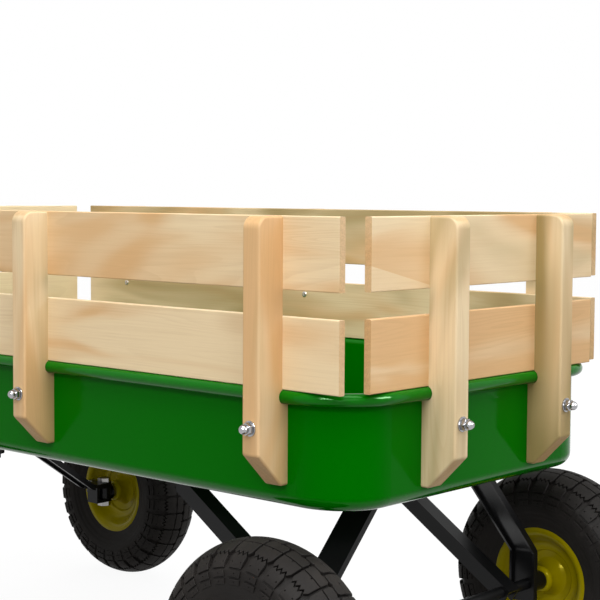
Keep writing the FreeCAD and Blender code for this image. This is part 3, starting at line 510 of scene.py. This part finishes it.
# Outlines of the blocks on one side, in mm: across the pitch, then along the section from the middle
CENTRE_BLOCK = [(-11.2, 12.0), (-11.2, 3.2), (-9.2, 0.9), (-2.0, 0.9), (0, 2.2), (2.0, 0.9), (9.2, 0.9),
                (11.2, 3.2), (11.2, 12.0)]
INNER_BLOCK = [(-11.2, 26.0), (-11.2, 13.1), (-0.7, 13.1), (-0.4, 14.9), (0.4, 14.9), (0.7, 13.1),
               (11.2, 13.1), (11.2, 26.0), (8.4, 30.4), (5.6, 26.4), (2.8, 30.4), (0, 26.4), (-2.8, 30.4),
               (-5.6, 26.4), (-8.4, 30.4)]
SHOULDER_BLOCK = [(-8.8, 46.4), (-8.8, 35.6), (-8.4, 33.0), (-5.6, 29.0), (-2.8, 33.0), (0, 29.0),
                  (2.8, 33.0), (5.6, 29.0), (8.4, 33.0), (8.8, 35.6), (8.8, 46.4)]
SIDE_BLOCK = [(-8.8, 55.0), (-8.8, 48.6), (8.8, 48.6), (8.8, 55.0)]
LOW_BLOCK = [(-8.8, 62.4), (-8.8, 57.0), (8.8, 57.0), (8.8, 62.4)]
# Each block's outline, the setting for its depth, the middles of its pits, and where it is divided so that it
# follows the tyre's curve; all but the names in mm, as above
BLOCKS = (
    (CENTRE_BLOCK, "depth", (), (4, 8)),
    (INNER_BLOCK, "depth", (), (18, 22)),
    (SHOULDER_BLOCK, "depth", ((-5.9, 40.4), (5.9, 40.4)), (34, 37.5, 43)),
    (SIDE_BLOCK, "shoulder_depth", ((0, 51.8),), ()),
    (LOW_BLOCK, "shoulder_depth", ((0, 59.7),), ()))
# Where every block is divided across the pitch, and half the width of a pit, in mm
PITCH_CUTS = (-3.0, 3.0)
PIT = 0.8
PIT_DEPTH = 1.6 * MM
# Faces this near to a pit's middle, and vertices this near to a plane, count as in it, in metres
IN_PIT = 0.3 * MM
ON_TOP = 1e-7
ON_CUT = 1e-6
# How far a block's foot reaches below the floor of its groove
SINK = 1.0 * MM
# The radius at which a block is as wide as it is drawn
DRAWN_RADIUS = 120 * MM

# The tyre under its blocks, in mm along the section from the middle: the deep grooves run out from 40 to 47,
# and on the side wall, past 56, the shallow ones from 58 to 67
GROOVES_RUN_OUT = (40, 47)
SIDE_WALL = 56
SIDE_RUNS_OUT = (58, 67)
# Two rings, and all past the bead's edge, stand up to the frame's surface; the rest of the wall lies below it
RINGS = ((70.2, 71.8), (76.2, 78.4))
BEAD = 84
WALL_SINK = 0.5 * MM
# The tyre's closed inside: how wide the bead is, and how far in and out from its edge the liner lies
BEAD_WIDTH = 6 * MM
LINER_INSET = 9 * MM
LINER_RISE = 20 * MM
SECTION_STEPS = 58
CARCASS_STEPS = 120
# How the tread is turned on the first wheel, and how much further on each next one, in degrees
TREAD_TURN = 9.8
NEXT_TREAD_TURN = 3.7


def cut_across(x):
    return ((x * MM, 0, 0), (1, 0, 0))


def cut_along(y):
    return ((0, y * MM, 0), (0, 1, 0))


def tread_block(outline, depth, edge, pits, bends):
    """A raised block drawn flat: X across the pitch, Y along the section, Z up from the tyre's surface."""
    bm = bmesh.new()
    top = bm.faces.new([bm.verts.new((x, y, 0)) for x, y in in_mm(outline)])
    top.normal_update()
    grown = bmesh.ops.extrude_face_region(bm, geom=[top], use_keep_orig=True)
    foot = [item for item in grown["geom"] if isinstance(item, bmesh.types.BMVert)]
    bmesh.ops.translate(bm, verts=foot, vec=(0, 0, -depth))
    bmesh.ops.recalc_face_normals(bm, faces=bm.faces[:])
    rim = [item for item in bm.edges if all(abs(vert.co.z) < ON_TOP for vert in item.verts)]
    bmesh.ops.bevel(bm, geom=rim, offset=edge, segments=1, profile=0.5, affect="EDGES", material=-1)
    cuts = [cut_across(x) for x in PITCH_CUTS] + [cut_along(y) for y in bends]
    for x, y in pits:
        cuts += [cut_across(x - PIT), cut_across(x + PIT), cut_along(y - PIT), cut_along(y + PIT)]
    for place, normal in dict.fromkeys(cuts):
        bmesh.ops.bisect_plane(bm, geom=bm.verts[:] + bm.edges[:] + bm.faces[:], plane_co=place,
                               plane_no=normal, dist=ON_CUT)
    for middle in in_mm(pits):
        floor = [face for face in bm.faces if face.normal.z > 0.9
                 and (face.calc_center_median() - Vector((*middle, 0))).length < IN_PIT]
        bmesh.ops.poke(bm, faces=floor, offset=-PIT_DEPTH, center_mode="MEAN")
    return bm


def wrapped(bm, form, side, turn, target):
    """Lay a flat block on the tyre's surface and add it to the target."""
    for vert in bm.verts:
        axial, radius = form.point(vert.co.y, vert.co.z)
        angle = vert.co.x / DRAWN_RADIUS + turn
        vert.co = (radius * math.cos(angle), side * axial, radius * math.sin(angle))
    holder = bpy.data.meshes.new("block")
    bm.to_mesh(holder)
    bm.free()
    target.from_mesh(holder)
    bpy.data.meshes.remove(holder)


def groove_floor(mm, depth, side_depth):
    """How deep the tyre lies below the frame's surface at a distance along the section."""
    if mm >= BEAD or any(low < mm < high for low, high in RINGS):
        return 0.0
    if mm > SIDE_WALL:
        start, end = SIDE_RUNS_OUT
        return max(WALL_SINK, side_depth * min(1.0, (end - mm) / (end - start)))
    start, end = GROOVES_RUN_OUT
    if mm < start:
        return depth
    return side_depth + (depth - side_depth) * max(0.0, (end - mm) / (end - start))


def other_side(line):
    """A line of the section on the tyre's other side, walked back."""
    return [(-axial, radius) for axial, radius in reversed(line)]


def carcass(bm, form, depth, side_depth):
    """The tyre under its blocks, spun from the frame's section with the grooves taken off."""
    steps = [form.reach[-1] * index / SECTION_STEPS for index in range(SECTION_STEPS + 1)]
    line = [form.point(along, -groove_floor(along / MM, depth, side_depth)) for along in steps]
    axial, radius = line[-1]
    liner = [(axial - BEAD_WIDTH, radius), (axial - LINER_INSET, radius + LINER_RISE)]
    loop = other_side(line[1:]) + line + liner + other_side(liner)
    verts = [bm.verts.new((radius, axial, 0)) for axial, radius in loop]
    edges = [bm.edges.new(pair) for pair in zip(verts, verts[1:] + verts[:1])]
    bmesh.ops.spin(bm, geom=verts + edges, cent=(0, 0, 0), axis=(0, 1, 0), angle=math.tau,
                   steps=CARCASS_STEPS, use_merge=True, use_duplicate=False)


class WAGON_OT_tyres(bpy.types.Operator):
    """Add four tyres with moulded tread blocks"""
    bl_idname = "wagon.add_tyres"
    bl_label = "Tyres"

    def execute(self, context):
        tread = context.scene.wagon_tread
        material = rubber("tyre_rubber", tread.rubber)
        form = TyreForm("tyre_rear_left")
        pitch = math.tau / tread.pitches
        ring = bmesh.new()
        for side, offset in ((1, 0.0), (-1, pitch / 2)):
            for outline, depth, pits, bends in BLOCKS:
                block = tread_block(outline, getattr(tread, depth) + SINK, tread.edge, pits, bends)
                wrapped(block, form, side, offset, ring)
        bmesh.ops.spin(ring, geom=ring.verts[:] + ring.edges[:] + ring.faces[:], cent=(0, 0, 0),
                       axis=(0, 1, 0), angle=pitch * (tread.pitches - 1), steps=tread.pitches - 1,
                       use_merge=False, use_duplicate=True)
        carcass(ring, form, tread.depth, tread.shoulder_depth)
        bmesh.ops.recalc_face_normals(ring, faces=ring.faces[:])
        pattern = bpy.data.meshes.new("tread_pattern")
        ring.to_mesh(pattern)
        ring.free()
        for index, wheel in enumerate(WHEELS):
            low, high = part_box("tyre_" + wheel)
            bm = bmesh.new()
            bm.from_mesh(pattern)
            turn = Matrix.Rotation(math.radians(TREAD_TURN + NEXT_TREAD_TURN * index), 4, "Y")
            bmesh.ops.transform(bm, matrix=Matrix.Translation((low + high) / 2) @ turn, verts=bm.verts[:])
            piece = settle("treaded_tyre_" + wheel, bm, "wheel_" + wheel, material)
            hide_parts("tyre_" + wheel)
        bpy.data.meshes.remove(pattern)
        return {"FINISHED"}


# Fastenings

# Steps in one turn of the washers, of the domes and bolt heads, and of the screws and valves
WASHER_STEPS, DOME_STEPS, SMALL_STEPS = 32, 28, 20
# The stake bolts: how high they are, in metres, then the washer, the nut and its dome
BOLT_HEIGHT = 0.357
WASHER_HOLE = 3.0 * MM
WASHER_TOP = 1.4 * MM
NUT_TOP = 6.6 * MM
NUT_EDGE = 0.45 * MM
DOME_FOOT = 6.0 * MM
DOME_MIDDLE = 9.0 * MM
# Sections as (radius, height) in mm
BOLT_HEAD = [(0, -0.5), (7.0, -0.5), (7.0, 0), (6.8, 0.9), (5.6, 2.0), (3.6, 2.8), (1.6, 3.15), (0, 3.2)]
VALVE_STEM = [(0, -8), (5.2, -8), (5.2, -2), (4.4, 0.5), (3.2, 4), (3.0, 11), (2.5, 11.6), (2.5, 12.4),
              (3.3, 12.9), (3.4, 19), (2.9, 20.3), (0, 20.6)]
# The hollow for the driver in a screw's head, from its lip to its foot
SCREW_HOLLOW = [(1.9, 0.75), (1.7, 0.1), (0, 0.1)]
# A valve stem starts this far out from the rim's middle, and leans from the axle by this share of its length
VALVE_OUT = 15 * MM
VALVE_LEAN = 0.12
# Where the first wheel's valve is, and how much further round it is on each next one, in degrees
VALVE_TURN = 205
NEXT_VALVE_TURN = 40


def onto(node, spot, way, depth=0.0):
    """The spot, moved along X or Y onto the side of a node's box that faces a way, or below it by a depth."""
    low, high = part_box(node)
    axis = 0 if way.x else 1
    moved = spot.copy()
    moved[axis] = (high if way[axis] > 0 else low)[axis] - way[axis] * depth
    return moved


def stake_side(node):
    """Middle of a stake's outer face, and the way it faces."""
    low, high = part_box(node)
    if node.startswith("side"):
        out = Vector((0, -1 if "_left_" in node else 1, 0))
    else:
        out = Vector((1 if node.startswith("end_rear") else -1, 0, 0))
    return onto(node, (low + high) / 2, out), out


def hexagon(bm, across, bottom, top, place):
    """The six-sided body of a nut, its edges eased."""
    radius = across / math.sqrt(3)
    made = bmesh.ops.create_cone(bm, cap_ends=True, segments=6, radius1=radius, radius2=radius,
                                 depth=top - bottom, matrix=Matrix.Translation((0, 0, (top + bottom) / 2)))
    rims = {edge for vert in made["verts"] for edge in vert.link_edges}
    bevelled = bmesh.ops.bevel(bm, geom=list(rims), offset=NUT_EDGE, segments=2, profile=0.5, affect="EDGES",
                               material=-1)
    verts = {vert for face in bevelled["faces"] for vert in face.verts}
    bmesh.ops.transform(bm, matrix=place, verts=list(verts))


def washer_section(edge):
    return [(WASHER_HOLE, 0), (edge - 0.2 * MM, 0), (edge, 0.25 * MM), (edge, 1.15 * MM),
            (edge - 0.3 * MM, WASHER_TOP), (WASHER_HOLE, WASHER_TOP)]


def dome_section(radius):
    turns = (math.radians(turn) for turn in range(0, 91, 10))
    arc = [(radius * math.cos(turn), DOME_MIDDLE + radius * math.sin(turn)) for turn in turns]
    return [(0, DOME_FOOT), (radius - 0.5 * MM, DOME_FOOT), (radius - 0.4 * MM, 7.2 * MM),
            (radius, 7.8 * MM)] + arc


def screw_section(radius):
    return [(0, -0.6 * MM), (radius, -0.6 * MM), (radius, 0.1 * MM), (radius - 0.5 * MM, 0.5 * MM),
            *in_mm(SCREW_HOLLOW)]


class WAGON_OT_stake_bolts(bpy.types.Operator):
    """Add a washer and a cap nut on every stake, and the bolt's head inside the tray"""
    bl_idname = "wagon.add_stake_bolts"
    bl_label = "Stake bolts"

    def execute(self, context):
        fittings = context.scene.wagon_fittings
        bm = bmesh.new()
        for node in STAKES:
            face, out = stake_side(node)
            face.z = BOLT_HEIGHT
            place = pointing(face, out)
            lathe(bm, washer_section(fittings.washer / 2), WASHER_STEPS, place)
            hexagon(bm, fittings.nut, WASHER_TOP, NUT_TOP, place)
            lathe(bm, dome_section(fittings.dome / 2), DOME_STEPS, place)
            inside = onto("tray", face, out, RIM_OVERHANG + TRAY_SHEET)
            lathe(bm, in_mm(BOLT_HEAD), DOME_STEPS, pointing(inside, -out))
        # Painted reflection: the chrome is darkened to stand in for the dark surroundings it would reflect
        settle("stake_bolts", bm, "wagon", plated("chrome_with_painted_reflection", (0.36, 0.36, 0.37), roughness=0.08))
        return {"FINISHED"}


class WAGON_OT_slat_screws(bpy.types.Operator):
    """Add the countersunk screws that hold the slats to the stakes"""
    bl_idname = "wagon.add_slat_screws"
    bl_label = "Slat screws"

    def execute(self, context):
        fittings = context.scene.wagon_fittings
        bm = bmesh.new()
        section = screw_section(fittings.screw / 2)
        for slat in SLATS:
            low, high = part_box(slat)
            wall = slat.rsplit("_slat_", 1)[0] + "_"
            for stake in (name for name in STAKES if name.startswith(wall)):
                face, out = stake_side(stake)
                spot = onto(slat, face, -out)
                for rise in (-fittings.screw_rise, fittings.screw_rise):
                    spot.z = (low.z + high.z) / 2 + rise
                    lathe(bm, section, SMALL_STEPS, pointing(spot, -out))
        settle("slat_screws", bm, "wagon", plated("screw_zinc", (0.55, 0.53, 0.5), roughness=0.22))
        return {"FINISHED"}


class WAGON_OT_valve_stems(bpy.types.Operator):
    """Add a rubber valve stem with its cap to every rim"""
    bl_idname = "wagon.add_valve_stems"
    bl_label = "Valve stems"

    def execute(self, context):
        radius = context.scene.wagon_fittings.valve_radius
        material = rubber("valve_rubber", (0.016, 0.016, 0.016))
        for index, wheel in enumerate(WHEELS):
            low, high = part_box("rim_" + wheel)
            side = -1 if wheel.endswith("left") else 1
            turn = math.radians(VALVE_TURN + NEXT_VALVE_TURN * index)
            foot = Vector((radius * math.cos(turn), side * VALVE_OUT, radius * math.sin(turn)))
            lean = Vector((VALVE_LEAN * math.cos(turn), side, VALVE_LEAN * math.sin(turn)))
            bm = bmesh.new()
            lathe(bm, in_mm(VALVE_STEM), SMALL_STEPS, pointing((low + high) / 2 + foot, lean))
            settle("valve_stem_" + wheel, bm, "wheel_" + wheel, material)
        return {"FINISHED"}


# Stage

# The floor: how far it reaches each way in metres, its glow and the share of that, its paper, and the darker
# paper that it is for the light that it throws back
FLOOR_REACH = 14
FLOOR_GLOW = 1.04
FLOOR_GLOW_SHARE = 0.9
FLOOR_PAPER = (0.9, 0.9, 0.9, 1)
FLOOR_UNSEEN = (0.22, 0.22, 0.22, 1)
# The lamps: the setting for their power and their share of it, size, place and aim in metres, and a kind of
# ray that they are hidden from
BESIDE_LEFT = (1.64, -2.19, 1.7)
BESIDE_RIGHT = (2.95, 0.66, 1.45)
LAMPS = {
    "key": ("key", 1.0, (2.2, 1.2), (1.3, -0.6, 2.6), (0.7, 0, 0.35), None),
    "fill": ("key", 0.3, (1.8, 1.8), (3.1, -2.0, 1.7), (0.6, 0, 0.3), None),
    "front_fill": ("key", 0.7, (2.4, 2.0), (-1.5, 2.5, 1.9), (0.4, 0, 0.3), "visible_glossy"),
    "strip_left": ("strip", 1.0, (1.2, 0.3), BESIDE_LEFT, (0.86, -0.22, 0.39), None),
    "strip_right": ("strip", 0.6, (1.2, 0.3), BESIDE_RIGHT, (0.88, -0.18, 0.39), None),
    "glint_left": ("glint", 1.0, (1.0, 0.8), BESIDE_LEFT, (0.87, -0.2, 0.39), "visible_diffuse"),
    "glint_right": ("glint", 1.0, (1.0, 0.8), BESIDE_RIGHT, (0.87, -0.2, 0.39), "visible_diffuse")}
# The camera: its place from the floor under the rear axle's middle in metres, its yaw, pitch and roll in
# degrees, its shift as a share of the frame, its sensor in mm, and how near and far it sees in metres
CAMERA_PLACE = (0.962744, -1.269353, 0.579345)
CAMERA_TURNS = (-42.493, -3.915, 0.276)
CAMERA_SHIFT = (0.01918, -0.00836)
CAMERA_SENSOR = 36
CAMERA_SIGHT = (0.05, 60)


def backdrop_mix(nodes, links, seen, unseen):
    """Light Path: what the camera, glossy and transmission rays see, and what the others see."""
    path = nodes.new("ShaderNodeLightPath")
    share = path.outputs["Is Camera Ray"]
    for ray in ("Is Glossy Ray", "Is Transmission Ray"):
        either = nodes.new("ShaderNodeMath")
        either.operation = "MAXIMUM"
        links.new(share, either.inputs[0])
        links.new(path.outputs[ray], either.inputs[1])
        share = either.outputs[0]
    mix = nodes.new("ShaderNodeMixShader")
    for index, source in enumerate((share, unseen, seen)):
        links.new(source, mix.inputs[index])
    return mix.outputs[0]


def add_floor(scene):
    mesh = bpy.data.meshes.new("floor")
    bm = bmesh.new()
    bmesh.ops.create_grid(bm, x_segments=1, y_segments=1, size=FLOOR_REACH)
    bm.to_mesh(mesh)
    bm.free()
    floor = bpy.data.objects.new("floor", mesh)
    scene.collection.objects.link(floor)
    tree = Tree("floor_paper")
    glow = tree.add("ShaderNodeEmission", Color=WHITE, Strength=FLOOR_GLOW)
    matte = tree.add("ShaderNodeBsdfDiffuse", Color=FLOOR_PAPER)
    both = tree.add("ShaderNodeMixShader", Fac=FLOOR_GLOW_SHARE)
    tree.links.new(matte.outputs[0], both.inputs[1])
    tree.links.new(glow.outputs[0], both.inputs[2])
    plain = tree.add("ShaderNodeBsdfDiffuse", Color=FLOOR_UNSEEN)
    out = backdrop_mix(tree.nodes, tree.links, both.outputs[0], plain.outputs[0])
    tree.links.new(out, tree.nodes["Material Output"].inputs[0])
    mesh.materials.append(tree.material)


def light_world(scene, strength):
    """Even light all round, and plain white where it is seen."""
    world = scene.world or bpy.data.worlds.new("studio")
    scene.world = world
    world.use_nodes = True
    nodes, links = world.node_tree.nodes, world.node_tree.links
    sky, white = nodes["Background"], nodes.new("ShaderNodeBackground")
    for ground, level in ((sky, strength), (white, 1.0)):
        ground.inputs["Color"].default_value = WHITE
        ground.inputs["Strength"].default_value = level
    out = backdrop_mix(nodes, links, white.outputs[0], sky.outputs[0])
    links.new(out, nodes["World Output"].inputs[0])


def add_lamp(scene, name, power, size, place, aim, hidden):
    data = bpy.data.lights.new(name, "AREA")
    data.shape = "RECTANGLE"
    data.size, data.size_y = size
    data.energy = power
    lamp = bpy.data.objects.new(name, data)
    scene.collection.objects.link(lamp)
    lamp.location = place
    lamp.rotation_euler = (Vector(aim) - Vector(place)).to_track_quat("-Z", "Y").to_euler()
    if hidden:
        setattr(lamp, hidden, False)


def add_camera(scene, lens):
    data = bpy.data.cameras.new("camera")
    camera = bpy.data.objects.new("camera", data)
    scene.collection.objects.link(camera)
    scene.camera = camera
    data.sensor_width = CAMERA_SENSOR
    data.lens = lens
    data.shift_x, data.shift_y = CAMERA_SHIFT
    data.clip_start, data.clip_end = CAMERA_SIGHT
    yaw, pitch, roll = (math.radians(turn) for turn in CAMERA_TURNS)
    look = Vector((math.sin(yaw) * math.cos(pitch), math.cos(yaw) * math.cos(pitch), math.sin(pitch)))
    level = Vector((math.cos(yaw), -math.sin(yaw), 0))
    upright = level.cross(look)
    right = level * math.cos(roll) + upright * math.sin(roll)
    up = upright * math.cos(roll) - level * math.sin(roll)
    turn = Matrix((right, up, -look)).transposed().to_4x4()
    low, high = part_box("rear_axle")
    x, y, z = CAMERA_PLACE
    camera.matrix_world = Matrix.Translation(((low.x + high.x) / 2 + x, y, z)) @ turn


class WAGON_OT_stage(bpy.types.Operator):
    """Add the floor, the lights and the camera"""
    bl_idname = "wagon.add_stage"
    bl_label = "Stage"

    def execute(self, context):
        scene = context.scene
        stage = scene.wagon_stage
        scene.view_settings.view_transform = "Standard"
        add_floor(scene)
        light_world(scene, stage.sky)
        for name, (setting, share, size, place, aim, hidden) in LAMPS.items():
            add_lamp(scene, name, getattr(stage, setting) * share, size, place, aim, hidden)
        add_camera(scene, stage.lens)
        return {"FINISHED"}


# The add-on

class WAGON_PT_panel(bpy.types.Panel):
    """Shows the wagon's settings, such as sizes and colours, and a button for each step that adds its pieces
    """
    bl_label = "Wagon"
    bl_idname = "WAGON_PT_panel"
    bl_space_type = "VIEW_3D"
    bl_region_type = "UI"
    bl_category = "Wagon"

    def draw(self, context):
        for group in SETTINGS:
            box = self.layout.box()
            settings = getattr(context.scene, group)
            for name in settings.bl_rna.properties.keys():
                if name not in ("rna_type", "name"):
                    box.prop(settings, name)
        for operator in OPERATORS:
            self.layout.operator(operator.bl_idname)


SETTINGS = {"wagon_tread": WagonTread, "wagon_wood": WagonWood, "wagon_paint": WagonPaint,
            "wagon_fittings": WagonFittings, "wagon_stage": WagonStage}
OPERATORS = (WAGON_OT_stage, WAGON_OT_finishes, WAGON_OT_tyres, WAGON_OT_stake_bolts, WAGON_OT_slat_screws,
             WAGON_OT_valve_stems)
CLASSES = (*SETTINGS.values(), *OPERATORS, WAGON_PT_panel)


def register():
    for item in CLASSES:
        bpy.utils.register_class(item)
    for group, item in SETTINGS.items():
        setattr(bpy.types.Scene, group, PointerProperty(type=item))


def unregister():
    for group in SETTINGS:
        delattr(bpy.types.Scene, group)
    for item in reversed(CLASSES):
        bpy.utils.unregister_class(item)


def main():
    register()
    bpy.ops.wagon.add_stage()
    bpy.ops.wagon.add_finishes()
    bpy.ops.wagon.add_tyres()
    bpy.ops.wagon.add_stake_bolts()
    bpy.ops.wagon.add_slat_screws()
    bpy.ops.wagon.add_valve_stems()


if __name__ == "__main__":
    main()
